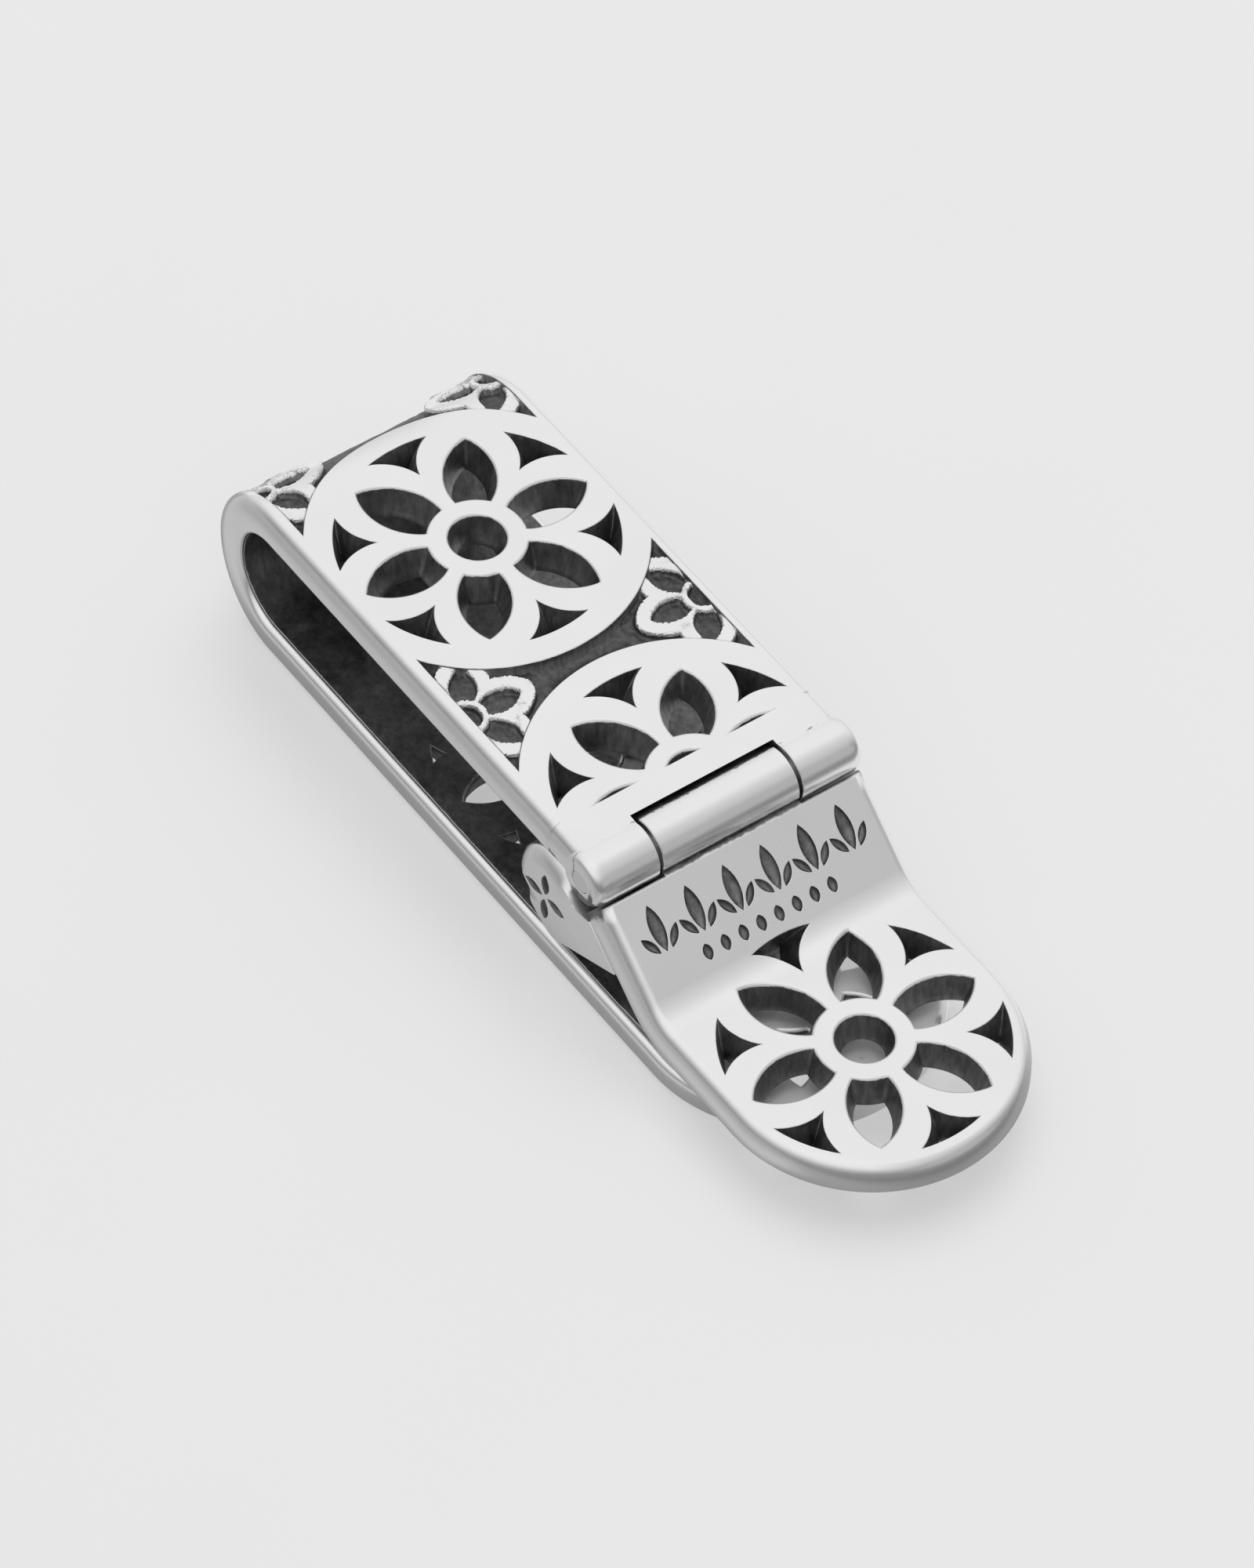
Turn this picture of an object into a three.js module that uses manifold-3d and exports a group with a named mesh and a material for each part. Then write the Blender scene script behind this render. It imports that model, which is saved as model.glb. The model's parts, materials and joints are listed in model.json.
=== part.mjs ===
// A hinged silver money clip: a pierced U-shaped strap, and a lever that turns on a barrel
// hinge at the open end and drives a cam down against the lower leaf.
// Millimetres, +Z up. The origin is under the middle of the clip, on the surface it lies on.
// +X points from the bend to the thumb tab, and the hinge axis lies along Y.

import * as THREE from 'three';
import { mergeVertices } from 'three/addons/utils/BufferGeometryUtils.js';
import Module from 'manifold-3d';

const wasm = await Module();
wasm.setup();

// ---------------------------------------------------------------- driving dimensions

const overallLength = 63.5;
const width = 19.4;
const strapHeight = 11.95;
const upperThickness = 2.3;
const lowerThickness = 1.95;
const bendThickening = 0.6;
const leverThickness = 2.05;
const edgeRounding = 0.9;
const edgeBreak = 0.2;
const solderGap = 0.05;
const springCut = 0.3;

const halfWidth = width / 2;
const bendRadius = strapHeight / 2;
const bendX = bendRadius - overallLength / 2;
const upperUnderside = strapHeight - upperThickness;

// One rosette of the pattern, and where the rosettes stand along each leaf.
const petalCount = 6;
const petalTip = 8.2;
const petalMiddle = 4.92;
const petalHalfWidth = 1.72;
const hubHole = 1.9;
const hubRing = 3.0;
const spandrelRim = 8.78;
const spandrelSideRadius = 3.44;
const spandrelSideX = 5.17;
const spandrelSideY = 3.4;
const rosetteRing = 10.37;
const rosettePitch = 22.36;
const wallDraft = 0.3;
const upperRosetteX = -17.78;
const lowerRosetteX = 14.3;
const tabRosetteX = 21.75;

// Oxidised grounds sunk between the rosette rings and the plain rails.
const railInside = 8.7;
const groundDepth = 0.7;

// Hinge.
const hingeX = 6.41;
const hingeZ = 10.22;
const knuckleRadius = 1.88;
const knuckleSplit = 5.08;
const runningGap = 0.12;
const turnGap = 0.3;
const pinRadius = 0.75;
const boreRadius = 0.84;
const pinRecess = 0.2;
const plateStart = 3.25;

// Lever: a plate that slopes down from the hinge and turns level into the thumb tab.
const slopeTopX = 8.46;
const slopeTopZ = 9.6;
const slopeAngle = THREE.MathUtils.degToRad(40.5);
const slopeBlend = 3.5;
const tabTop = 4.68;
const tabEndX = overallLength / 2 - halfWidth;
const lowerEndX = lowerRosetteX;

// Cam: a round-nosed bar under the slope. It turns clear of the lower leaf by camClearance.
const camX = 3.15;
const camZ = 5.6;
const camRadius = 3.2;
const camClearance = 0.15;
const camEndBevel = 0.8;

// ---------------------------------------------------------------- solids and outlines

const tau = Math.PI * 2;

function arc(x, y, radius, from, to, steps) {
  const points = [];
  for (let i = 0; i < steps; i += 1) {
    const angle = from + (to - from) * (i / steps);
    points.push(new THREE.Vector2(x + radius * Math.cos(angle), y + radius * Math.sin(angle)));
  }
  return points;
}

// The two points where the circle about (x, y) meets the circle about the origin.
function meetAboutOrigin(x, y, radius, originRadius) {
  const distance = Math.hypot(x, y);
  const along = (distance * distance + originRadius ** 2 - radius ** 2) / (2 * distance);
  const across = Math.sqrt(originRadius ** 2 - along ** 2);
  const first = new THREE.Vector2(x * along - y * across, y * along + x * across);
  const second = new THREE.Vector2(x * along + y * across, y * along - x * across);
  first.divideScalar(distance);
  second.divideScalar(distance);
  return [first, second];
}

// A petal along +X, drawn in by inset: two arcs that meet at the tip, closed by the hub ring.
function petalOutline(inset) {
  const reach = petalTip - petalMiddle;
  const sideRadius = (reach ** 2 + petalHalfWidth ** 2) / (2 * petalHalfWidth);
  const sideCentre = sideRadius - petalHalfWidth;
  const radius = sideRadius - inset;
  const ring = hubRing + inset;
  const base = meetAboutOrigin(petalMiddle, -sideCentre, radius, ring).find((point) => point.y > 0);
  const tipX = petalMiddle + Math.sqrt(radius ** 2 - sideCentre ** 2);
  const baseAngle = Math.atan2(base.y + sideCentre, base.x - petalMiddle);
  const tipAngle = Math.atan2(sideCentre, tipX - petalMiddle);
  const hubAngle = Math.atan2(base.y, base.x);
  return [
    ...arc(petalMiddle, -sideCentre, radius, baseAngle, tipAngle, 6),
    ...arc(petalMiddle, sideCentre, radius, -tipAngle, -baseAngle, 6),
    ...arc(0, 0, ring, -hubAngle, hubAngle, 2),
  ].reverse();
}

// The three-sided opening between two petals, along +X, drawn in by inset.
function spandrelOutline(inset) {
  const rim = spandrelRim - inset;
  const radius = spandrelSideRadius + inset;
  const meets = meetAboutOrigin(spandrelSideX, spandrelSideY, radius, rim);
  const corner = meets.reduce((low, point) => (point.y < low.y ? point : low));
  const innerX = spandrelSideX + Math.sqrt(radius ** 2 - spandrelSideY ** 2);
  const innerAngle = Math.atan2(-spandrelSideY, innerX - spandrelSideX);
  const cornerAngle = Math.atan2(corner.y - spandrelSideY, corner.x - spandrelSideX);
  const rimAngle = Math.atan2(corner.y, corner.x);
  return [
    ...arc(0, 0, rim, -rimAngle, rimAngle, 3),
    ...arc(spandrelSideX, spandrelSideY, radius, cornerAngle, innerAngle, 4),
    ...arc(spandrelSideX, -spandrelSideY, radius, -innerAngle, -cornerAngle, 4),
  ];
}

function hubOutline(inset) {
  return arc(0, 0, hubHole - inset, 0, tau, 16);
}

// A leaf's plan: straight sides from backX, and a half-round end about centreX.
function tongueOutline(backX, centreX, inset) {
  const radius = halfWidth - inset;
  return [
    new THREE.Vector2(backX, -radius),
    ...arc(centreX, 0, radius, -Math.PI / 2, Math.PI / 2, 28),
    new THREE.Vector2(centreX, radius),
    new THREE.Vector2(backX, radius),
  ];
}

function signedVolume(positions, index) {
  const a = new THREE.Vector3();
  const b = new THREE.Vector3();
  const c = new THREE.Vector3();
  let total = 0;
  for (let i = 0; i < index.length; i += 3) {
    a.fromArray(positions, index[i] * 3);
    b.fromArray(positions, index[i + 1] * 3);
    c.fromArray(positions, index[i + 2] * 3);
    total += a.dot(b.cross(c));
  }
  return total;
}

// Triangles over a flat ring, wound the way the ring itself runs.
function capTriangles(cap) {
  const triangles = THREE.ShapeUtils.triangulateShape(cap, []);
  const ringSign = Math.sign(THREE.ShapeUtils.area(cap));
  return triangles.map(([a, b, c]) => {
    const sign = Math.sign(THREE.ShapeUtils.area([cap[a], cap[b], cap[c]]));
    return sign === -ringSign ? [a, c, b] : [a, b, c];
  });
}

// A closed solid through rings of equal length; flat ends are cut up from a 2-D ring.
function loft(rings, firstCap, lastCap) {
  const count = rings[0].length;
  const positions = rings.flat().flatMap((point) => [point.x, point.y, point.z]);
  const index = [];
  for (let r = 0; r + 1 < rings.length; r += 1) {
    for (let i = 0; i < count; i += 1) {
      const here = r * count + i;
      const next = r * count + ((i + 1) % count);
      index.push(here, next, next + count, here, next + count, here + count);
    }
  }
  const lastRing = (rings.length - 1) * count;
  for (const [a, b, c] of capTriangles(firstCap)) {
    index.push(c, b, a);
  }
  for (const [a, b, c] of capTriangles(lastCap)) {
    index.push(lastRing + a, lastRing + b, lastRing + c);
  }
  if (signedVolume(positions, index) < 0) {
    index.reverse();
  }
  return toSolid(positions, index);
}

function toSolid(positions, index) {
  const vertProperties = Float32Array.from(positions);
  const triVerts = Uint32Array.from(index);
  return new wasm.Manifold(new wasm.Mesh({ numProp: 3, vertProperties, triVerts }));
}

function geometryToSolid(geometry) {
  const bare = geometry.clone();
  bare.deleteAttribute('normal');
  bare.deleteAttribute('uv');
  const merged = mergeVertices(bare, 1e-5);
  return toSolid(merged.attributes.position.array, merged.index.array);
}

// A prism along Z through outlines of equal length, each given with its height.
function heightLoft(levels) {
  const rings = levels.map(({ outline, z }) => outline.map((p) => new THREE.Vector3(p.x, p.y, z)));
  return loft(rings, levels[0].outline, levels[levels.length - 1].outline);
}

// A profile in the XZ plane, given as [x, z] corners, drawn out along Y.
function acrossProfile(corners, fromY, toY) {
  const ring = (y) => corners.map(([x, z]) => new THREE.Vector3(x, y, z));
  const cap = corners.map(([x, z]) => new THREE.Vector2(x, z));
  return loft([ring(fromY), ring(toY)], cap, cap);
}

// A cylinder along Y about (x, z).
function acrossCylinder(x, z, radius, fromY, toY, sides) {
  const geometry = new THREE.CylinderGeometry(radius, radius, toY - fromY, sides);
  geometry.translate(0, (fromY + toY) / 2, 0);
  geometry.translate(x, 0, z);
  return geometryToSolid(geometry);
}

function block(fromX, toX, fromY, toY, fromZ, toZ) {
  const geometry = new THREE.BoxGeometry(toX - fromX, toY - fromY, toZ - fromZ);
  geometry.translate((fromX + toX) / 2, (fromY + toY) / 2, (fromZ + toZ) / 2);
  return geometryToSolid(geometry);
}

function ringPost(x, fromZ, toZ) {
  const outline = arc(x, 0, rosetteRing, 0, tau, 60);
  return heightLoft([{ outline, z: fromZ }, { outline, z: toZ }]);
}

// Depths below a leaf's outer face, with how far its outline draws in there: a rounded rim.
function rimLevels(thickness) {
  const levels = [];
  const steps = 3;
  for (let i = 0; i <= steps; i += 1) {
    const turn = (i / steps) * (Math.PI / 2);
    levels.push({
      depth: edgeRounding * (1 - Math.cos(turn)),
      inset: edgeRounding * (1 - Math.sin(turn)),
    });
  }
  levels.push({ depth: thickness - edgeBreak, inset: 0 });
  levels.push({ depth: thickness, inset: edgeBreak });
  return levels;
}

// A bar with a rounded outer edge, drawn along stations that give its outer face and normal.
function sweep(stations) {
  const rings = stations.map(({ x, z, inX, inZ, thickness }) => {
    const levels = rimLevels(thickness);
    const right = levels.map(({ depth, inset }) => [halfWidth - inset, depth]);
    const left = levels.map(({ depth, inset }) => [inset - halfWidth, depth]).reverse();
    return [...right, ...left].map(([y, d]) => ({
      point: new THREE.Vector3(x + inX * d, y, z + inZ * d),
      flat: new THREE.Vector2(y, d),
    }));
  });
  const cap = (ring) => ring.map((corner) => corner.flat);
  const solidRings = rings.map((ring) => ring.map((corner) => corner.point));
  return loft(solidRings, cap(rings[0]), cap(rings[rings.length - 1]));
}

// The half-round end of a leaf with its rounded rim. down is -1 where the outer face is on top.
function tongue(backX, centreX, faceZ, thickness, down) {
  const levels = rimLevels(thickness).map(({ depth, inset }) => ({
    outline: tongueOutline(backX, centreX, inset),
    z: faceZ + down * depth,
  }));
  return heightLoft(levels);
}

// A tapering opening through a leaf. The outline is full size at the leaf's outer face.
function opening(outlineOf, turn, x, faceZ, thickness, down) {
  const beyond = 0.5;
  const centre = new THREE.Vector2();
  const level = (depth, inset) => ({
    outline: outlineOf(inset).map((point) => {
      const placed = point.clone().rotateAround(centre, turn);
      placed.x += x;
      return placed;
    }),
    z: faceZ + down * depth,
  });
  const floorDepth = thickness + beyond;
  return heightLoft([level(-beyond, 0), level(0, 0), level(floorDepth, floorDepth * wallDraft)]);
}

// Every opening of a rosette centred at x.
function rosetteCuts(x, faceZ, thickness, down) {
  const cuts = [opening(hubOutline, 0, x, faceZ, thickness, down)];
  for (let i = 0; i < petalCount; i += 1) {
    const spandrelTurn = (i * tau) / petalCount;
    const petalTurn = spandrelTurn + tau / (2 * petalCount);
    cuts.push(opening(petalOutline, petalTurn, x, faceZ, thickness, down));
    cuts.push(opening(spandrelOutline, spandrelTurn, x, faceZ, thickness, down));
  }
  return cuts;
}

function subtractAll(solid, cuts) {
  return cuts.reduce((left, cut) => left.subtract(cut), solid);
}

// ---------------------------------------------------------------- strap

// The strap's thickness eases from one leaf's to the other's, and is greatest at the back.
function bendStation(angle) {
  const share = (angle - Math.PI / 2) / Math.PI;
  const eased = upperThickness + (lowerThickness - upperThickness) * share;
  return {
    x: bendX + bendRadius * Math.cos(angle),
    z: bendRadius + bendRadius * Math.sin(angle),
    inX: -Math.cos(angle),
    inZ: -Math.sin(angle),
    thickness: eased + bendThickening * Math.sin(Math.PI * share) ** 2,
  };
}

function bendStations(from, to) {
  const steps = 10;
  const stations = [];
  for (let i = 0; i <= steps; i += 1) {
    stations.push(bendStation(from + (to - from) * (i / steps)));
  }
  return stations;
}

// The sunk ground over a stretch of the bend, between the rails.
function bendGround(from, to) {
  const steps = 10;
  const corners = [];
  for (const radius of [bendRadius + 1, bendRadius - groundDepth]) {
    const stretch = arc(bendX, bendRadius, radius, from, to, steps).map((point) => [point.x, point.y]);
    stretch.push([bendX + radius * Math.cos(to), bendRadius + radius * Math.sin(to)]);
    corners.push(...(radius > bendRadius ? stretch : stretch.reverse()));
  }
  return acrossProfile(corners, -railInside, railInside);
}

const cutAngle = Math.asin(springCut / 2 / bendRadius);

function buildUpperStrap() {
  const leafEnd = plateStart - solderGap;
  const face = { z: strapHeight, inX: 0, inZ: -1, thickness: upperThickness };
  const body = sweep([{ x: leafEnd, ...face }, ...bendStations(Math.PI / 2, Math.PI - cutAngle)]);
  const above = strapHeight + 1;
  const floor = strapHeight - groundDepth;
  const secondRosetteX = upperRosetteX + rosettePitch;
  const posts = [upperRosetteX, secondRosetteX].map((x) => ringPost(x, floor - 1, above + 1));
  const flatGround = block(bendX - 0.01, leafEnd, -railInside, railInside, floor, above);
  const ground = subtractAll(flatGround, posts);
  const wrap = bendGround(Math.PI / 2, Math.PI - cutAngle - 0.05).subtract(posts[0]);
  const first = rosetteCuts(upperRosetteX, strapHeight, upperThickness, -1);
  const second = rosetteCuts(secondRosetteX, strapHeight, upperThickness, -1);
  return subtractAll(body, [ground, wrap, ...first, ...second]);
}

function buildLowerStrap() {
  const face = { z: 0, inX: 0, inZ: 1, thickness: lowerThickness };
  const bend = bendStations(Math.PI + cutAngle, Math.PI * 1.5);
  const body = sweep([...bend, { x: lowerEndX - 2, ...face }])
    .add(tongue(lowerEndX - 3, lowerEndX, 0, lowerThickness, 1));
  const firstRosetteX = lowerRosetteX - rosettePitch;
  const posts = [lowerRosetteX, firstRosetteX].map((x) => ringPost(x, -2, groundDepth + 1));
  const flatGround = block(bendX - 0.01, lowerEndX, -railInside, railInside, -1, groundDepth);
  const ground = subtractAll(flatGround, posts);
  const wrap = bendGround(Math.PI + cutAngle + 0.05, Math.PI * 1.5);
  const cuts = [lowerRosetteX, firstRosetteX].flatMap((x) => rosetteCuts(x, 0, lowerThickness, 1));
  return subtractAll(body, [ground, wrap, ...cuts]);
}

// ---------------------------------------------------------------- hinge

function buildHingePlate() {
  const face = { z: strapHeight, inX: 0, inZ: -1, thickness: upperThickness };
  const sides = 32;
  const inner = knuckleSplit + runningGap;
  const knuckles = [[-halfWidth, -inner], [inner, halfWidth]].map(([from, to]) => (
    acrossCylinder(hingeX, hingeZ, knuckleRadius, from, to, sides)
  ));
  const seat = acrossCylinder(hingeX, hingeZ, knuckleRadius + turnGap, -inner, inner, sides);
  const bore = acrossCylinder(hingeX, hingeZ, boreRadius, -width, width, 20);
  return sweep([{ x: hingeX, ...face }, { x: plateStart, ...face }])
    .add(knuckles[0])
    .add(knuckles[1])
    .subtract(seat)
    .subtract(bore);
}

function buildHingePin() {
  const end = halfWidth - pinRecess;
  return acrossCylinder(hingeX, hingeZ, pinRadius, -end, end, 20);
}

// ---------------------------------------------------------------- lever and cam

// The lever's top face: down the slope, round the blend and level along the tab.
function leverStations(endX) {
  const run = (slopeTopZ - tabTop) / Math.tan(slopeAngle);
  const tangent = slopeBlend * Math.tan(slopeAngle / 2);
  const levelX = slopeTopX + run + tangent;
  const stations = [{ x: slopeTopX, z: slopeTopZ, turn: slopeAngle }];
  const steps = 6;
  for (let i = 0; i <= steps; i += 1) {
    const turn = slopeAngle * (1 - i / steps);
    stations.push({
      x: levelX - slopeBlend * Math.sin(turn),
      z: tabTop + slopeBlend * (1 - Math.cos(turn)),
      turn,
    });
  }
  stations.push({ x: endX, z: tabTop, turn: 0 });
  return stations.map(({ x, z, turn }) => ({
    x,
    z,
    inX: -Math.sin(turn),
    inZ: -Math.cos(turn),
    thickness: leverThickness,
  }));
}

// A point on the slope: distance down its top face, and depth below that face.
function onSlope(distance, depth) {
  return [
    slopeTopX + distance * Math.cos(slopeAngle) - depth * Math.sin(slopeAngle),
    slopeTopZ - distance * Math.sin(slopeAngle) - depth * Math.cos(slopeAngle),
  ];
}

function buildLever() {
  const tabStart = tabEndX - 3;
  const inner = knuckleSplit - runningGap;
  const knuckle = acrossCylinder(hingeX, hingeZ, knuckleRadius, -inner, inner, 32);
  const web = acrossProfile([
    [hingeX, hingeZ + knuckleRadius * 0.6],
    onSlope(0.4, 0.1),
    onSlope(0.9, leverThickness - 0.1),
    [hingeX, hingeZ - knuckleRadius * 0.9],
  ], -inner, inner);
  const bore = acrossCylinder(hingeX, hingeZ, boreRadius, -width, width, 20);
  const body = sweep(leverStations(tabStart + 1))
    .add(tongue(tabStart, tabEndX, tabTop, leverThickness, -1))
    .add(knuckle)
    .add(web)
    .subtract(bore);
  return subtractAll(body, rosetteCuts(tabRosetteX, tabTop, leverThickness, -1));
}

function buildCam() {
  const end = halfWidth;
  const side = end - camEndBevel;
  const profile = [
    [0, end],
    [camRadius - 1.1, end],
    [camRadius - 0.4, end - 0.2],
    [camRadius, side],
    [camRadius, -side],
    [camRadius - 0.4, 0.2 - end],
    [camRadius - 1.1, -end],
    [0, -end],
  ].map(([radius, y]) => new THREE.Vector2(radius, y)).reverse();
  const nose = new THREE.LatheGeometry(profile, 40);
  nose.translate(camX, 0, camZ);
  const depth = leverThickness + solderGap;
  const neck = acrossProfile([
    [camX + 1.2, camZ + 1.4],
    onSlope(0.6, depth),
    onSlope(4.1, depth),
    [camX + 1.6, camZ - camRadius * 0.88],
  ], -end, end);
  const reach = hingeZ - lowerThickness - camClearance;
  return geometryToSolid(nose)
    .add(neck)
    .intersect(acrossCylinder(hingeX, hingeZ, reach, -width, width, 72));
}

// ---------------------------------------------------------------- scene graph

const polished = { color: 0xe3e4e5, roughness: 0.18, metalness: 1 };
const satin = { color: 0xb9babc, roughness: 0.4, metalness: 1 };
const steel = { color: 0x9a9c9f, roughness: 0.35, metalness: 1 };

const pieces = [
  ['lower_strap', buildLowerStrap(), polished],
  ['upper_strap', buildUpperStrap(), polished],
  ['hinge_plate', buildHingePlate(), polished],
  ['hinge_pin', buildHingePin(), steel],
  ['lever', buildLever(), polished],
  ['cam_bar', buildCam(), satin],
];

const moneyClip = new THREE.Group();
for (const [name, solid, look] of pieces) {
  const { vertProperties, triVerts } = solid.getMesh();
  const geometry = new THREE.BufferGeometry();
  geometry.setAttribute('position', new THREE.BufferAttribute(vertProperties, 3));
  geometry.setIndex(new THREE.BufferAttribute(triVerts, 1));
  geometry.computeVertexNormals();
  const mesh = new THREE.Mesh(geometry, new THREE.MeshStandardMaterial(look));
  mesh.name = name;
  moneyClip.add(mesh);
}

export default moneyClip;
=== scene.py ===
"""Looks of a hinged silver money clip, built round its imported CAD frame. Lengths are in mm
until a mesh is made, and MM turns them into metres. +X runs from the bend to the thumb tab."""

import json
import math

import bmesh
import bpy
import numpy as np
from mathutils import Matrix, Vector, noise
from mathutils.geometry import delaunay_2d_cdt


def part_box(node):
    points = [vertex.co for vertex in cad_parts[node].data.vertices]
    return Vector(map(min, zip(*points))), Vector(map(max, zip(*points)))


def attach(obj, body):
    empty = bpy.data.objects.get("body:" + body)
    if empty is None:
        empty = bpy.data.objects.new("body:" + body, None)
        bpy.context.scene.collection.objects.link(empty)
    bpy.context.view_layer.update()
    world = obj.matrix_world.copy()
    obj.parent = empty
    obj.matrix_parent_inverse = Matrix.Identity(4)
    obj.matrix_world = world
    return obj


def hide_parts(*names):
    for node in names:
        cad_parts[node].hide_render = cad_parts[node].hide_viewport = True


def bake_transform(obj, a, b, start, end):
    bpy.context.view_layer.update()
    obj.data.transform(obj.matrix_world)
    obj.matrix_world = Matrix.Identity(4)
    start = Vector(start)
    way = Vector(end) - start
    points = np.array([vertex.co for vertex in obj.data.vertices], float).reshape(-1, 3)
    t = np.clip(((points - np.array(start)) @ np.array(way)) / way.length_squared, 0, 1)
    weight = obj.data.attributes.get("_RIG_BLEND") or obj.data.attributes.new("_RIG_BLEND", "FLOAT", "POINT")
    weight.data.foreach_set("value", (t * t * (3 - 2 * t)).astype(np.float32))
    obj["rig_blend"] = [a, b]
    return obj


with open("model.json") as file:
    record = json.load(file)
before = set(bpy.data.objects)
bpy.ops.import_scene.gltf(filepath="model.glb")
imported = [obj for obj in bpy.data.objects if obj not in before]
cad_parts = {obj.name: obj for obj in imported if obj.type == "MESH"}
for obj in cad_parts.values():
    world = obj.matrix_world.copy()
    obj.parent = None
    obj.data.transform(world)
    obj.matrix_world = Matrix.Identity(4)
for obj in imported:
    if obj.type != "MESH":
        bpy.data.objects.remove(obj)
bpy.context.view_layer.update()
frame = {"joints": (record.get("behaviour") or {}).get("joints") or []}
MM = 0.001
TAU = math.tau
WHITE = (1.0, 1.0, 1.0, 1.0)


def box_mm(node):
    low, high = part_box(node)
    return low / MM, high / MM


# ------------------------------------------------------------ sizes, from the frame

upper_low, upper_high = box_mm("upper_strap")
_, lower_high = box_mm("lower_strap")
plate_low, plate_high = box_mm("hinge_plate")
_, lever_high = box_mm("lever")
pin_low, pin_high = box_mm("hinge_pin")
hinge = next(joint for joint in frame["joints"] if joint["name"] == "lever_turn")
hinge_x = hinge["pos_m"][0] / MM
hinge_z = hinge["pos_m"][2] / MM

half_width = upper_high.y
strap_top = upper_high.z
bend_radius = strap_top / 2
bend_x = upper_low.x + bend_radius
plate_x = plate_low.x
knuckle_radius = plate_high.z - hinge_z
pin_radius = (pin_high.x - pin_low.x) / 2

upper_thickness = 2.3
lower_thickness = 1.95
lever_thickness = 2.05
bend_thickening = 0.6
knuckle_split = 5.08
running_gap = 0.12
turn_gap = 0.3
bore_radius = pin_radius + 0.012
solder_seam_x = hinge_x - 0.8

# The rosette: petals and spandrels round a hub, and its raised ring.
petal_count = 6
petal_tip = 8.2
petal_middle = 4.92
petal_half_width = 1.72
hub_hole = 1.9
hub_ring = 3.0
spandrel_rim = 8.78
spandrel_side_radius = 3.44
spandrel_side_x = 5.17
spandrel_side_y = 3.4
rosette_ring = 10.37
rosette_pitch = 22.36
wall_draft = 0.3
pocket_draft = 0.08
rail_inside = 8.7
ground_depth = 0.7

# The small rosettes on the grounds: their ribs, and how rough ribs and grounds are.
small_scale = 0.47
small_reach = 6.2
small_span = 5.6
rib_width = 1.05
rib_inner_wall = 0.12
rib_outer_wall = 0.14
rib_overlap = 0.03
rib_drop = 0.1
rib_roughness = 0.05
rib_wear = 0.03
chisel_marks = 0.05
chisel_grain = 0.025

# How dark the silver is: 0 is bare, 1 is oxidised, and the deepest ground adds deep_dark.
deep_dark = 0.5
# The strap's inner face: oxide, painted darker still as painted shade between the leaves. The lighter inner
# faces: the lever's, and the lower leaf's towards its tip.
inside_oxide_and_shade = 1.25
light_inside_dark = 0.28

# A leaf's outer edge curves in by the first length while it drops by the second. The third
# is the radius of its inner edge.
rail_rounding = (0.9, 1.4, 0.35)
lower_rounding = (0.5, 0.5, 0.55)
lever_rounding = (0.9, 1.35, 0.22)
knuckle_rounding = 0.45
pin_dome = 0.08
polished_margin = 0.16
petal_lip = 0.26
spandrel_lip = 0.08
ground_lip = 0.1
engraving_lip = 0.04

# How finely curves are divided: lengths between points, then steps along an arc.
bend_pitch = 0.32
straight_pitch = 1.2
blend_pitch = 0.25
fine_pitch = 0.056
edge_steps = 9
lip_steps = 4
slope_steps = 6
tip_steps = 72
ring_steps = 60
barrel_steps = 40

# Where the strap's flat pattern runs: s starts at the hinge plate and goes round the bend.
bend_start = plate_x - bend_x
bend_end = bend_start + math.pi * bend_radius
lower_end_x = lower_high.x - half_width
upper_rosette_s = plate_x + 17.78
second_rosette_s = upper_rosette_s - rosette_pitch
lower_rosette_s = bend_end + (lower_end_x - bend_x)
inner_rosette_s = lower_rosette_s - rosette_pitch
strap_end_s = lower_rosette_s
strap_overrun = 14.0

# The lever's top face: a slope, a blend and the level tab.
slope_top = (8.46, 9.6)
slope_angle = math.radians(40.5)
slope_blend = 3.5
tab_top = 4.68
tab_rosette_x = 21.75
tab_end_x = lever_high.x - half_width

# The cam's nose, how far it may reach from the hinge, and the chamfer of its ends.
cam_x = 3.15
cam_z = 5.6
cam_radius = 3.2
cam_clearance = 0.15
cam_reach = hinge_z - lower_thickness - cam_clearance
nose_chamfer = 0.95
cam_chamfer = 0.14

# ------------------------------------------------------------ outlines in a flat pattern


def arc(x, y, radius, start, stop, steps):
    """Points from start towards stop, without the last one."""
    angles = [start + (stop - start) * i / steps for i in range(steps)]
    return [(x + radius * math.cos(a), y + radius * math.sin(a)) for a in angles]


def meet_about_origin(x, y, radius, origin_radius):
    """Where the circle about (x, y) meets the one about the origin."""
    distance = math.hypot(x, y)
    along = (distance**2 + origin_radius**2 - radius**2) / (2 * distance)
    across = math.sqrt(origin_radius**2 - along**2)
    first = ((x * along - y * across) / distance, (y * along + x * across) / distance)
    second = ((x * along + y * across) / distance, (y * along - x * across) / distance)
    return first, second


def petal_outline(inset):
    """A petal along +X: two arcs that meet at its tip, closed by the hub ring."""
    reach = petal_tip - petal_middle
    side = (reach**2 + petal_half_width**2) / (2 * petal_half_width)
    drop = side - petal_half_width
    radius = side - inset
    ring = hub_ring + inset
    base = max(meet_about_origin(petal_middle, -drop, radius, ring), key=lambda p: p[1])
    tip_x = petal_middle + math.sqrt(radius**2 - drop**2)
    base_angle = math.atan2(base[1] + drop, base[0] - petal_middle)
    tip_angle = math.atan2(drop, tip_x - petal_middle)
    hub_angle = math.atan2(base[1], base[0])
    return (
        arc(petal_middle, -drop, radius, base_angle, tip_angle, steps=22)
        + arc(petal_middle, drop, radius, -tip_angle, -base_angle, steps=22)
        + arc(0, 0, ring, -hub_angle, hub_angle, steps=8)
    )


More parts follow.
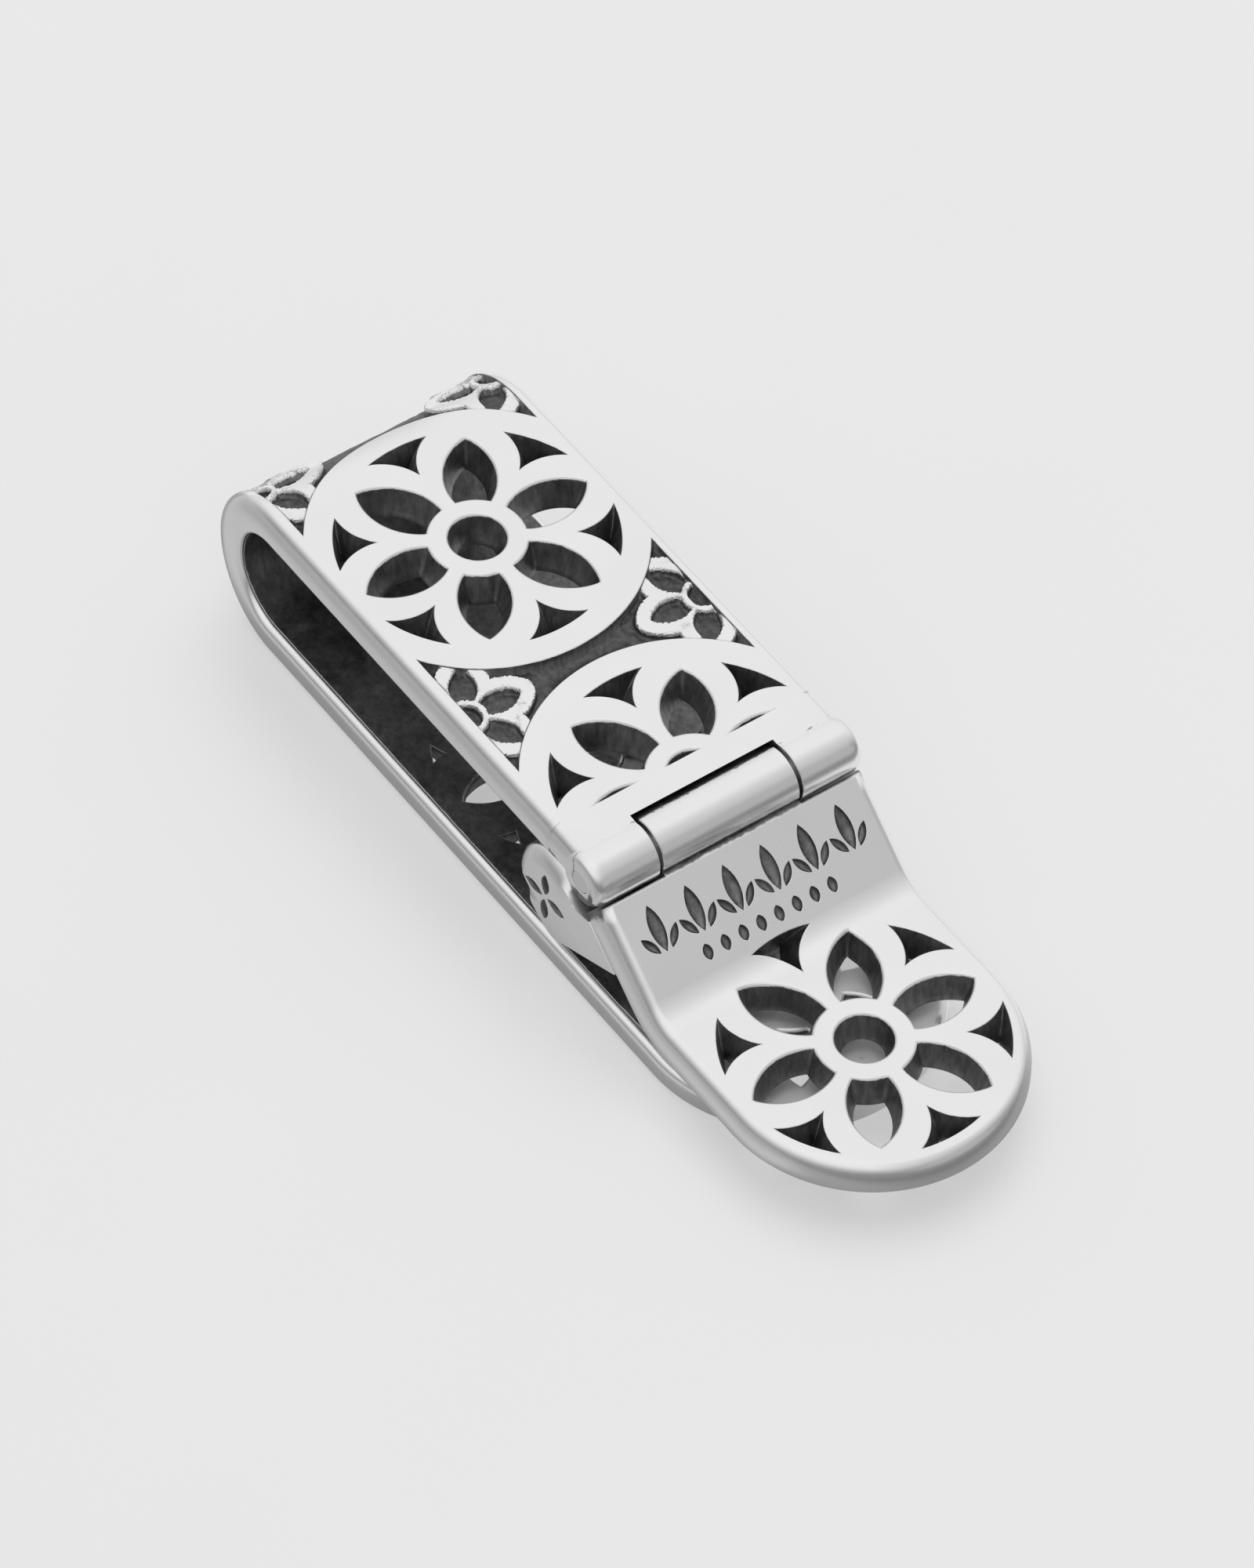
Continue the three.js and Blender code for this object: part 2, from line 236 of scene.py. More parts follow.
def spandrel_outline(inset):
    """The three-sided opening between two petals, along +X."""
    rim = spandrel_rim - inset
    radius = spandrel_side_radius + inset
    meets = meet_about_origin(spandrel_side_x, spandrel_side_y, radius, rim)
    corner = min(meets, key=lambda p: p[1])
    inner_x = spandrel_side_x + math.sqrt(radius**2 - spandrel_side_y**2)
    inner_angle = math.atan2(-spandrel_side_y, inner_x - spandrel_side_x)
    corner_angle = math.atan2(corner[1] - spandrel_side_y, corner[0] - spandrel_side_x)
    rim_angle = math.atan2(corner[1], corner[0])
    side_steps = 14
    return (
        arc(0, 0, rim, -rim_angle, rim_angle, steps=12)
        + arc(spandrel_side_x, spandrel_side_y, radius, corner_angle, inner_angle, side_steps)
        + arc(spandrel_side_x, -spandrel_side_y, radius, -inner_angle, -corner_angle, side_steps)
    )


def hub_outline(inset):
    return arc(0, 0, hub_hole - inset, 0, TAU, steps=48)


def placed(outline_of, s, y=0.0, turn=0.0):
    """The same outline, turned and moved to (s, y)."""
    cosine, sine = math.cos(turn), math.sin(turn)

    def outline(inset):
        points = outline_of(inset)
        return [(s + p * cosine - q * sine, y + p * sine + q * cosine) for p, q in points]

    return outline


def rosette_openings(s):
    """(outline, lip) of each opening. Half of a petal's or the hub's lip lies outside it."""

    def grown(outline_of):
        return lambda inset: outline_of(inset - petal_lip / 2)

    openings = [(placed(grown(hub_outline), s), petal_lip)]
    for i in range(petal_count):
        turn = i * TAU / petal_count
        petal = placed(grown(petal_outline), s, turn=turn + TAU / (2 * petal_count))
        openings.append((petal, petal_lip))
        openings.append((placed(spandrel_outline, s, turn=turn), spandrel_lip))
    return openings


def spaced(start, stop, pitch):
    """Evenly spaced values from start towards stop, without the last one."""
    count = max(1, round(abs(stop - start) / pitch))
    return [start + (stop - start) * i / count for i in range(count)]


def side_stations(start, stop):
    """Places along a straight side of the strap, closer together round the bend."""
    marks = sorted({start, stop, *(m for m in (bend_start, bend_end) if start < m < stop)})
    stations = []
    for a, b in zip(marks, marks[1:]):
        in_bend = bend_start - 1e-6 <= a and b <= bend_end + 1e-6
        stations += spaced(a, b, bend_pitch if in_bend else straight_pitch)
    return stations + [stop]


def ring_arc(s, inset, facing):
    """A rosette ring's outer edge from rail to rail, on the side that faces +s or -s."""
    radius = rosette_ring + inset
    limit = math.asin((rail_inside - inset) / radius)
    middle = 0 if facing > 0 else math.pi
    start, stop = middle + limit, middle - limit
    last = (s + radius * math.cos(stop), radius * math.sin(stop))
    return arc(s, 0, radius, start, stop, ring_steps) + [last]


def ground_outline(ring_before, ring_after):
    """The sunk ground between two rosette rings and the two rails."""
    half_chord = math.sqrt(rosette_ring**2 - rail_inside**2)
    start, stop = ring_before + half_chord, ring_after - half_chord
    shares = [(s - start) / (stop - start) for s in side_stations(start, stop)[1:-1]]

    def outline(inset):
        rail = rail_inside - inset
        before = ring_arc(ring_before, inset, 1)
        after = ring_arc(ring_after, inset, -1)
        first, last = before[-1][0], after[0][0]
        along = [first + (last - first) * share for share in shares]
        low = [(s, -rail) for s in along]
        high = [(s, rail) for s in reversed(along)]
        return before + low + after + high

    return outline


# ------------------------------------------------------------ mesh making


def inside_loop(points, loop):
    """Which of the points lie inside the closed loop."""
    x, y = points[:, 0], points[:, 1]
    ring = np.asarray(loop)
    inside = np.zeros(len(points), bool)
    x0, y0 = ring[-1]
    for x1, y1 in ring:
        crosses = (y1 > y) != (y0 > y)
        slope = (x0 - x1) * (y - y1) / ((y0 - y1) or 1e-12) + x1
        inside ^= crosses & (x < slope)
        x0, y0 = x1, y1
    return inside


def signed_area(loop):
    ring = np.asarray(loop)
    after = np.roll(ring, -1, axis=0)
    return 0.5 * float(np.sum(ring[:, 0] * after[:, 1] - after[:, 0] * ring[:, 1]))


class Shell:
    """A mesh in the making. Each vertex has a place in the pattern, how dark its silver is,
    and whether it lies on the outer (1) or inner (-1) face, whose normals stay straight."""

    def __init__(self):
        self.points = []
        self.dark = []
        self.face_side = []
        self.faces = []

    def add(self, point, dark=0.0, side=0.0):
        self.points.append(point)
        self.dark.append(dark)
        self.face_side.append(side)
        return len(self.points) - 1

    def ring(self, loop, depth_at, dark=0.0, side=0.0):
        return [self.add((s, y, depth_at(s)), dark, side) for s, y in loop]

    def bridge(self, upper, lower):
        count = len(upper)
        for i in range(count):
            j = (i + 1) % count
            self.faces.append((upper[i], lower[i], lower[j], upper[j]))

    def fill(self, loops, extra):
        """Triangles between the first loop and the others. Loops are (indices, points)."""
        points, owners, edges = [], [], []
        for indices, loop in loops:
            first = len(points)
            count = len(loop)
            points += [Vector(p) for p in loop]
            owners += indices
            edges += [(first + i, first + (i + 1) % count) for i in range(count)]
        for index, point in extra:
            points.append(Vector(point))
            owners.append(index)
        coords, _, faces, origin, _, _ = delaunay_2d_cdt(points, edges, [], 0, 1e-7)
        flat = np.array([(c.x, c.y) for c in coords])
        faces = np.array(faces)
        middles = flat[faces].mean(axis=1)
        keep = inside_loop(middles, loops[0][1])
        for _, loop in loops[1:]:
            keep &= ~inside_loop(middles, loop)
        for face in faces[keep]:
            self.faces.append(tuple(owners[origin[i][0]] for i in face))


def bend_grid(start, stop, pitch):
    """Points that keep the faces small where a leaf bends."""
    stations = spaced(start, stop, pitch) + [stop]
    rows = np.linspace(-half_width, half_width, num=29)
    return [(s, float(y)) for s in stations for y in rows]


def clear_points(candidates, loops, margin=0.12):
    """The candidates inside the first loop, outside the others and off every edge."""
    points = np.array(candidates)
    keep = inside_loop(points, loops[0])
    for loop in loops[1:]:
        keep &= ~inside_loop(points, loop)
    corners = np.concatenate([np.asarray(loop) for loop in loops])
    for i in np.nonzero(keep)[0]:
        keep[i] = np.min(np.hypot(*(corners - points[i]).T)) > margin
    return [tuple(p) for p in points[keep]]


def turned(loop, clockwise):
    """The loop, running the asked way round."""
    return list(reversed(loop)) if (signed_area(loop) < 0) != clockwise else list(loop)


def build_leaf(outline, thickness_at, rounding_at, openings, pockets, grid, under_dark):
    """A closed leaf in pattern space: a rounded rim, openings with lips, and sunk pockets.
    A pocket is (outline, lip, floor depth at (s, y), darkness at (s, y), floor points). The
    outline's points move in straight lines as its inset grows. The grid's points keep the
    outer and inner faces small, and under_dark(s) scales how dark the inner face is."""
    shell = Shell()
    top_loops, under_loops = [], []
    edge, one_in = turned(outline(0.0), False), turned(outline(1.0), False)

    def rim_loop(inset_at):
        shares = [inset_at(s) for s, _ in edge]
        return [
            (s + (t - s) * share, y + (v - y) * share)
            for (s, y), (t, v), share in zip(edge, one_in, shares)
        ]

    rim = []
    for i in range(edge_steps + 1):
        angle = i / edge_steps * math.pi / 2
        rise, run = 1 - math.cos(angle), 1 - math.sin(angle)
        loop = rim_loop(lambda s: rounding_at(s)[0] * run)
        rim.append(shell.ring(loop, lambda s: rounding_at(s)[1] * rise, side=float(i == 0)))
        if i == 0:
            top_loops.append((rim[0], loop))
    for i in range(lip_steps + 1):
        angle = i / lip_steps * math.pi / 2
        rise, run = 1 - math.sin(angle), 1 - math.cos(angle)
        loop = rim_loop(lambda s: rounding_at(s)[2] * run)
        rim.append(shell.ring(loop, lambda s: thickness_at(s) - rounding_at(s)[2] * rise))
    inner_loop = rim_loop(lambda s: rounding_at(s)[2] + polished_margin)
    rim.append(shell.ring(inner_loop, thickness_at, dark=1.0, side=-1.0))
    under_loops.append((rim[-1], inner_loop))
    for upper, lower in zip(rim, rim[1:]):
        shell.bridge(upper, lower)

    def lip_rings(opening, radius):
        """An opening's rounded lip, which darkens from its second ring down."""
        rings = []
        for i in range(lip_steps + 1):
            angle = i / lip_steps * math.pi / 2
            depth = radius * (1 - math.cos(angle))
            loop = turned(opening(radius * math.sin(angle)), True)
            dark = max(0.0, (i - 1) / (lip_steps - 1))
            rings.append(shell.ring(loop, lambda s, d=depth: d, dark, side=float(i == 0)))
            if i == 0:
                top_loops.append((rings[0], loop))
        return rings

    for opening, lip in openings:
        rings = lip_rings(opening, lip)
        wall = thickness_at(opening(0.0)[0][0]) - 2 * lip
        for share in (0.25, 0.5, 0.75, 1.0):
            loop = turned(opening(lip + wall_draft * wall * share), True)
            rings.append(
                shell.ring(loop, lambda s, k=share: lip + (thickness_at(s) - 2 * lip) * k, dark=1.0)
            )
        # The inner edge opens out again over a narrow worn bevel.
        deepest = lip + wall_draft * wall
        loop = turned(opening(deepest - lip * 0.6), True)
        rings.append(shell.ring(loop, thickness_at, dark=0.45))
        loop = turned(opening(deepest - lip * 1.2), True)
        rings.append(shell.ring(loop, thickness_at, dark=1.0, side=-1.0))
        under_loops.append((rings[-1], loop))
        for upper, lower in zip(rings, rings[1:]):
            shell.bridge(upper, lower)

    for sunk, radius, floor_at, dark_at, floor_points in pockets:
        rings = lip_rings(sunk, radius)
        loop = turned(sunk(radius + pocket_draft), True)
        rings.append([shell.add((s, y, floor_at(s, y)), dark_at(s, y)) for s, y in loop])
        for upper, lower in zip(rings, rings[1:]):
            shell.bridge(upper, lower)
        extra = []
        for s, y in clear_points(floor_points, [loop], margin=0.07) if floor_points else []:
            rib_top = float(ground_height(s, y) > 0.97)
            extra.append((shell.add((s, y, floor_at(s, y)), dark_at(s, y), rib_top), (s, y)))
        shell.fill([(rings[-1], loop)], extra)

    for loops, side, dark, depth_at in (
        (top_loops, 1.0, 0.0, lambda s: 0.0),
        (under_loops, -1.0, 1.0, thickness_at),
    ):
        inner = clear_points(grid, [loop for _, loop in loops])
        extra = [(shell.add((s, y, depth_at(s)), dark, side), (s, y)) for s, y in inner]
        shell.fill(loops, extra)
    for i, (s, _, depth) in enumerate(shell.points):
        if depth > thickness_at(s) - 0.01:
            shell.dark[i] *= under_dark(s)
    return shell


def mesh_and_form(name, points, shell):
    """A new mesh, and its editable form with the shell's darkness and side at each vertex."""
    mesh = bpy.data.meshes.new(name)
    mesh.from_pydata(points, [], shell.faces)
    form = bmesh.new()
    form.from_mesh(mesh)
    dark = form.verts.layers.float.new("dark")
    side = form.verts.layers.float.new("side")
    for vertex, value, face_side in zip(form.verts, shell.dark, shell.face_side):
        vertex[dark] = value
        vertex[side] = face_side
    return mesh, form


def shell_object(name, shell, place, cut_at_start=None):
    """Makes the object. place(s, y, depth) gives a point and the outer face's normal there."""
    mesh, form = mesh_and_form(name, [(s, y, -depth) for s, y, depth in shell.points], shell)
    side = form.verts.layers.float["side"]
    if cut_at_start is not None:
        geometry = form.verts[:] + form.edges[:] + form.faces[:]
        cut = bmesh.ops.bisect_plane(
            form, geom=geometry, plane_co=(cut_at_start, 0, 0), plane_no=(-1, 0, 0), clear_outer=True
        )
        rim = [e for e in cut["geom_cut"] if isinstance(e, bmesh.types.BMEdge)]
        bmesh.ops.edgeloop_fill(form, edges=rim)
    normals = []
    for vertex in form.verts:
        s, y, height = vertex.co
        point, outward = place(s, y, -height)
        vertex.co = Vector(point) * MM
        normals.append(Vector(outward) * vertex[side] if abs(vertex[side]) > 0.99 else None)
    close_into(mesh, form)
    mesh.polygons.foreach_set("use_smooth", [True] * len(mesh.polygons))
    mesh.update()
    smooth = [v.normal.copy() for v in mesh.vertices]
    mesh.normals_split_custom_set_from_vertices([n or s for n, s in zip(normals, smooth)])
    return linked(name, mesh)


def close_into(mesh, form):
    """Turns every face outwards and fills the mesh. Stops if the form isn't closed."""
    open_edges = [edge for edge in form.edges if len(edge.link_faces) != 2]
    if open_edges:
        place = open_edges[0].verts[0].co
        raise RuntimeError(f"{mesh.name} has {len(open_edges)} open edges near {place}")
    bmesh.ops.recalc_face_normals(form, faces=form.faces[:])
    if form.calc_volume(signed=True) < 0:
        bmesh.ops.reverse_faces(form, faces=form.faces[:])
    form.to_mesh(mesh)
    form.free()


def plain(points, dark=0.0):
    """The same darkness for every point."""
    return [dark] * len(points)


def linked(name, mesh):
    piece = bpy.data.objects.new(name, mesh)
    bpy.context.scene.collection.objects.link(piece)
    return piece


def across_object(name, sections, pockets=()):
    """A closed piece from sections across the hinge line. A section is (y, (x, z) points,
    darkness of each). A pocket is (outline, depth), sunk in the end face at the lowest y."""
    shell = Shell()
    rings = [
        [shell.add((x, y, z), dark) for (x, z), dark in zip(points, darks)]
        for y, points, darks in sections
    ]
    for before, after in zip(rings, rings[1:]):
        shell.bridge(before, after)
    first_y, first_points, _ = sections[0]
    end_loops = [(rings[0], first_points)]
    for sunk, depth in pockets:
        # Inset, depth and darkness, down the pocket's wall.
        levels = [(0.0, 0.0, 0.0), (0.04, 0.05, 0.8), (0.1, depth, 1.0)]
        walls = []
        for inset, down, dark in levels:
            loop = sunk(inset)
            walls.append([shell.add((x, first_y + down, z), dark) for x, z in loop])
        end_loops.append((walls[0], sunk(0.0)))
        for before, after in zip(walls, walls[1:]):
            shell.bridge(before, after)
        shell.fill([(walls[-1], sunk(levels[-1][0]))], [])
    shell.fill(end_loops, [])
    shell.fill([(rings[-1], sections[-1][1])], [])
    mesh, form = mesh_and_form(name, [Vector(p) * MM for p in shell.points], shell)
    close_into(mesh, form)
    return linked(name, mesh)


def cut_bore(piece):
    """Cuts the pin's bore through a piece."""
    loop = arc(hinge_x, hinge_z, bore_radius, 0, TAU, barrel_steps)
    ends = [(side * half_width * 1.2, loop, plain(loop, 1.0)) for side in (-1, 1)]
    bore = across_object("bore", ends)
    modifier = piece.modifiers.new("bore", "BOOLEAN")
    modifier.operation = "DIFFERENCE"
    modifier.solver = "EXACT"
    modifier.object = bore
    graph = bpy.context.evaluated_depsgraph_get()
    mesh = bpy.data.meshes.new_from_object(piece.evaluated_get(graph))
    piece.modifiers.clear()
    piece.data = mesh
    bpy.data.objects.remove(bore)


def shade(piece, degrees=32):
    """Smooth shading with sharp corners kept."""
    mesh = piece.data
    mesh.polygons.foreach_set("use_smooth", [True] * len(mesh.polygons))
    mesh.set_sharp_from_angle(angle=math.radians(degrees))
    return piece


# ------------------------------------------------------------ where the patterns lie


def strap_thickness(s):
    share = min(1.0, max(0.0, (s - bend_start) / (bend_end - bend_start)))
    eased = upper_thickness + (lower_thickness - upper_thickness) * share
    return eased + bend_thickening * math.sin(math.pi * share) ** 2


def strap_rounding(s):
    """The edges' roundings, which change along the lower half of the bend."""
    share = smoothstep((s - bend_start) / (bend_end - bend_start) * 2 - 1)
    return [a + (b - a) * share for a, b in zip(rail_rounding, lower_rounding)]


def strap_place(s, y, depth):
    if s < bend_start:
        return (plate_x - s, y, strap_top - depth), (0, 0, 1)
    if s > bend_end:
        return (bend_x + s - bend_end, y, depth), (0, 0, -1)
    angle = math.pi / 2 + (s - bend_start) / bend_radius
    radius = bend_radius - depth
    cosine, sine = math.cos(angle), math.sin(angle)
    return (bend_x + radius * cosine, y, bend_radius + radius * sine), (cosine, 0, sine)


slope_run = (slope_top[1] - tab_top) / math.tan(slope_angle)
blend_tangent = slope_blend * math.tan(slope_angle / 2)
level_x = slope_top[0] + slope_run + blend_tangent
blend_s = slope_run / math.cos(slope_angle) - blend_tangent
level_s = blend_s + slope_blend * slope_angle
tab_end_s = level_s + tab_end_x - level_x
tab_rosette_s = level_s + tab_rosette_x - level_x


def lever_place(s, y, depth):
    if s > level_s:
        return (level_x + s - level_s, y, tab_top - depth), (0, 0, 1)
    if s < blend_s:
        turn = slope_angle
        x = slope_top[0] + s * math.cos(turn)
        z = slope_top[1] - s * math.sin(turn)
    else:
        turn = (level_s - s) / slope_blend
        x = level_x - slope_blend * math.sin(turn)
        z = tab_top + slope_blend * (1 - math.cos(turn))
    outward = (math.sin(turn), 0, math.cos(turn))
    return (x - outward[0] * depth, y, z - outward[2] * depth), outward


def strap_outline(inset):
    wide = half_width - inset
    along = side_stations(-strap_overrun, strap_end_s)
    tip = arc(strap_end_s, 0, wide, -math.pi / 2, math.pi / 2, tip_steps)
    return [(s, -wide) for s in along[:-1]] + tip + [(s, wide) for s in reversed(along)]


def lever_outline(inset):
    wide = half_width - inset
    back = 0.15 * inset
    slope = [back + (blend_s - back) * i / slope_steps for i in range(slope_steps)]
    along = slope + spaced(blend_s, level_s, blend_pitch) + [level_s]
    tip = arc(tab_end_s, 0, wide, -math.pi / 2, math.pi / 2, tip_steps)
    near, far = [(s, -wide) for s in along], [(s, wide) for s in reversed(along)]
    return near + tip + [(tab_end_s, wide)] + far


# ------------------------------------------------------------ sunk grounds, small rosettes


def smoothstep(value):
    value = min(1.0, max(0.0, value))
    return value * value * (3 - 2 * value)


def outside_petal(r, turn):
    """Distance outside the nearest petal of a small rosette, negative inside it."""
    sixth = TAU / petal_count
    turn = turn % sixth - sixth / 2
    x, y = r * math.cos(turn), abs(r * math.sin(turn))
    scale = small_scale
    reach = (petal_tip - petal_middle) * scale
    half = petal_half_width * scale
    side = (reach**2 + half**2) / (2 * half)
    drop = side - half
    past_middle = x - petal_middle * scale
    if reach * (y + drop) < drop * past_middle:
        return math.hypot(x - petal_tip * scale, y)
    return max(math.hypot(past_middle, y + drop) - side, hub_ring * scale - r)


def small_rosette_height(s, y, centre):
    """How far a small rosette's ribs rise at a place, from 0 to 1."""
    r = math.hypot(s - centre[0], y - centre[1])
    if r > small_reach:
        return 0.0
    turn = math.atan2(y - centre[1], s - centre[0])
    outside = outside_petal(r, turn)
    rough = rib_roughness * noise.noise((s * 1.3, y * 1.3, 3.1))
    inner = smoothstep((outside + rib_overlap) / rib_inner_wall)
    outer = smoothstep((rib_width + rough - outside) / rib_outer_wall)
    hub_wall = smoothstep((r - hub_hole * small_scale) / rib_outer_wall)
    return inner * outer * hub_wall


corner_arc = rosette_pitch / 2
small_centres = [
    (s, y)
    for s in (
        upper_rosette_s - corner_arc,
        upper_rosette_s + corner_arc,
        inner_rosette_s - corner_arc,
        inner_rosette_s + corner_arc,
    )
    for y in (-rail_inside, rail_inside)
]


def ground_height(s, y):
    return max(small_rosette_height(s, y, centre) for centre in small_centres)


def ground_floor(s, y):
    """The ground's depth, with chisel marks and the small rosettes' rough ribs."""
    height = ground_height(s, y)
    marks = chisel_marks * noise.noise((s * 1.1, y * 3.2, 0.5))
    marks += chisel_grain * noise.noise((s * 4, y * 4, 9))
    wear = rib_wear * noise.noise((s * 0.9, y * 0.9, 5.7))
    return ground_depth + marks * (1 - height) - height * (ground_depth - rib_drop + wear)


def ground_dark(s, y):
    """0 on a bare rib, 1 where it is spotted, and up to 1 + deep_dark on the ground."""
    height = ground_height(s, y)
    spots = noise.noise((s * 1.6, y * 1.6, 1.3))
    bare = smoothstep((height - 0.35) / 0.5) * (1 - 0.4 * smoothstep((spots - 0.25) / 0.2))
    return 1 - bare + deep_dark * smoothstep((0.3 - height) / 0.3)


def ground_points():
    """Fine points over the small rosettes, and coarse ones round the bend."""
    fine = []
    row_pitch = fine_pitch * 0.87
    columns = round(small_span / fine_pitch)
    rows = math.ceil(small_span / row_pitch)
    for centre in small_centres:
        inward = -math.copysign(1, centre[1])
        for i in range(-columns, columns + 1):
            for j in range(rows):
                s = centre[0] + (i + 0.5 * (j % 2)) * fine_pitch
                y = centre[1] + inward * j * row_pitch
                if math.hypot(s - centre[0], y - centre[1]) > small_span:
                    continue
                on_wall = 0.01 < small_rosette_height(s, y, centre) < 0.995
                if on_wall or (i % 3 == 0 and j % 3 == 0):
                    fine.append((s, y))
    centres = np.array(small_centres)
    coarse = [
        point
        for point in bend_grid(bend_start, bend_end, bend_pitch)
        if np.min(np.hypot(*(centres - point).T)) > small_span + 0.15
    ]
    return fine + coarse


# ------------------------------------------------------------ the strap


def strap_inside_oxide_and_shade(s):
    """The inside is oxidised and, between the leaves, painted darker still as painted shade. It is lighter
    towards the lower leaf's tip.
    """
    worn = smoothstep((s - strap_end_s + 5.5) / 5)
    return inside_oxide_and_shade + (light_inside_dark - inside_oxide_and_shade) * worn


def make_strap():
    rings = (second_rosette_s, upper_rosette_s, inner_rosette_s, lower_rosette_s)
    openings = [opening for s in rings for opening in rosette_openings(s)]
    points = ground_points()
    grounds = [
        (ground_outline(before, after), ground_lip, ground_floor, ground_dark, points)
        for before, after in zip(rings, rings[1:])
    ]
    grid = bend_grid(bend_start, bend_end, bend_pitch)
    shell = build_leaf(
        strap_outline, strap_thickness, strap_rounding, openings, grounds, grid, strap_inside_oxide_and_shade
    )
    strap = shell_object("strap", shell, strap_place, cut_at_start=0.0)
    strap.data.materials.append(strap_silver)
    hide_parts("lower_strap", "upper_strap")
    # The bend flexes within the spread's distance of the strap's mid-height.
    back = upper_low.x * MM
    spread = 3.5 * MM
    centre_z = bend_radius * MM
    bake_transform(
        strap,
        "lower_leaf",
        "upper_leaf",
        start=(back, 0, centre_z - spread),
        end=(back, 0, centre_z + spread),
    )


# ------------------------------------------------------------ hinge plate and pin


def end_rounding():
    """(distance in from the side, how far the face drops there), from the side inwards."""
    inward, drop, _ = rail_rounding
    angles = [i / (edge_steps - 1) * math.pi / 2 for i in range(edge_steps)]
    return [(inward * (1 - math.cos(a)), drop * (1 - math.sin(a))) for a in angles]


def plate_section(y, drop=0, rise=0, knuckle_drop=0, seat=False):
    """The plate's section at y, ending in a knuckle or in the centre knuckle's seat."""
    top = strap_top - drop
    under = strap_top - upper_thickness + rise
    radius = knuckle_radius + turn_gap if seat else knuckle_radius - knuckle_drop
    start = math.asin(min(1.0, (top - hinge_z) / radius))
    stop = math.asin((under - hinge_z) / radius)
    sweep = start - stop if seat else -(TAU - start + stop)
    turns = [math.pi - start + sweep * i / barrel_steps for i in range(barrel_steps + 1)]
    end = [(hinge_x + radius * math.cos(t), hinge_z + radius * math.sin(t)) for t in turns]
    if seat:
        darks = [smoothstep(i / 3) for i in range(barrel_steps + 1)]
    else:
        darks = [under_knuckle(t) for t in turns]
    return y, [(plate_x, top)] + end + [(plate_x, under)], [0.0] + darks + [1.0]


def under_knuckle(turn):
    """How dark a knuckle is: it darkens low at its front, where it drops into the slot."""
    degrees = math.degrees(turn)
    return smoothstep((-22 - degrees) / 14) * smoothstep((degrees + 150) / 40)


def make_hinge_plate():
    inner = knuckle_split + running_gap
    bevel = 0.05
    sections = []
    for side in (-1, 1):
        rows = []
        for inward, drop in end_rounding():
            share = drop / rail_rounding[1]
            y = side * (half_width - inward)
            rise, knuckle_drop = rail_rounding[2] * share, knuckle_rounding * share
            rows.append(plate_section(y, drop, rise, knuckle_drop))
        rows.append(plate_section(side * (inner + bevel)))
        rows.append(plate_section(side * inner, knuckle_drop=bevel))
        rows.append(plate_section(side * inner, seat=True))
        sections += rows if side < 0 else reversed(rows)
    plate = across_object("hinge_plate_body", sections)
    cut_bore(plate)
    shade(plate)
    plate.data.materials.append(hinge_silver)
    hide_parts("hinge_plate")
    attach(plate, "upper_leaf")


def make_pin():
    end = half_width - 0.01
    levels = [(-end, 0.96), (-end + 0.3 * pin_dome, 0.99), (-end + pin_dome, 1.0)]
    levels += [(-y, scale) for y, scale in reversed(levels)]
    sections = []
    for y, scale in levels:
        loop = arc(hinge_x, hinge_z, pin_radius * scale, 0, TAU, barrel_steps)
        sections.append((y, loop, plain(loop)))
    pin = shade(across_object("hinge_pin_body", sections))
    pin.data.materials.append(pin_steel)
    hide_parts("hinge_pin")
    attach(pin, "upper_leaf")


# ------------------------------------------------------------ lever and cam


def on_slope(distance, depth):
    """A point of the slope's section: how far down it, and how deep below its face."""
    return (
        slope_top[0] + distance * math.cos(slope_angle) - depth * math.sin(slope_angle),
        slope_top[1] - distance * math.sin(slope_angle) - depth * math.cos(slope_angle),
    )


def leaf_mark(length, half, s, y, turn):
    """A pointed leaf, cut as two arcs that meet at its tips."""
    side = (length**2 + half**2) / (2 * half)
    drop = side - half

    def outline(inset):
        radius = side - inset
        spread = math.acos(drop / radius)
        low, high = math.pi / 2 - spread, math.pi / 2 + spread
        steps = 9
        return arc(0, -drop, radius, low, high, steps) + arc(0, drop, radius, -high, -low, steps)

    return placed(outline, s, y, turn)


def row_across(count, pitch):
    """Evenly spaced places about the middle line."""
    return [(i - (count - 1) / 2) * pitch for i in range(count)]


def slope_ornament():
    """Two rows of leaves cut in the slope: three-leaf sprigs over a row of small lozenges."""
    marks = []
    for y in row_across(6, 2.75):
        marks.append(leaf_mark(length=1.55, half=0.52, s=2.5, y=y, turn=0.0))
        for lean in (-1, 1):
            turn = -lean * math.radians(34)
            marks.append(leaf_mark(length=0.82, half=0.31, s=3.3, y=y + lean * 0.84, turn=turn))
    for y in row_across(8, 1.3):
        marks.append(leaf_mark(length=0.56, half=0.36, s=5.15, y=y, turn=0.0))
    return marks


def make_lever():
    engraving_depth = 0.32
    pockets = [
        (mark, engraving_lip, lambda s, y: engraving_depth, lambda s, y: 1.0, [])
        for mark in slope_ornament()
    ]
    grid = bend_grid(blend_s, level_s, blend_pitch)
    openings = rosette_openings(tab_rosette_s)
    shell = build_leaf(
        lever_outline, lambda s: lever_thickness, lambda s: lever_rounding, openings, pockets, grid,
        lambda s: light_inside_dark,
    )
    # The slope's upper end darkens as it drops into the slot below the knuckles.
    for i, (s, _, depth) in enumerate(shell.points):
        if s < 0.3 and depth > 0.15:
            shell.dark[i] = smoothstep((depth - 0.1) / 0.4)
    lever = shell_object("lever_plate", shell, lever_place)
    lever.data.materials.append(lever_silver)
    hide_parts("lever")
    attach(lever, "lever_arm")


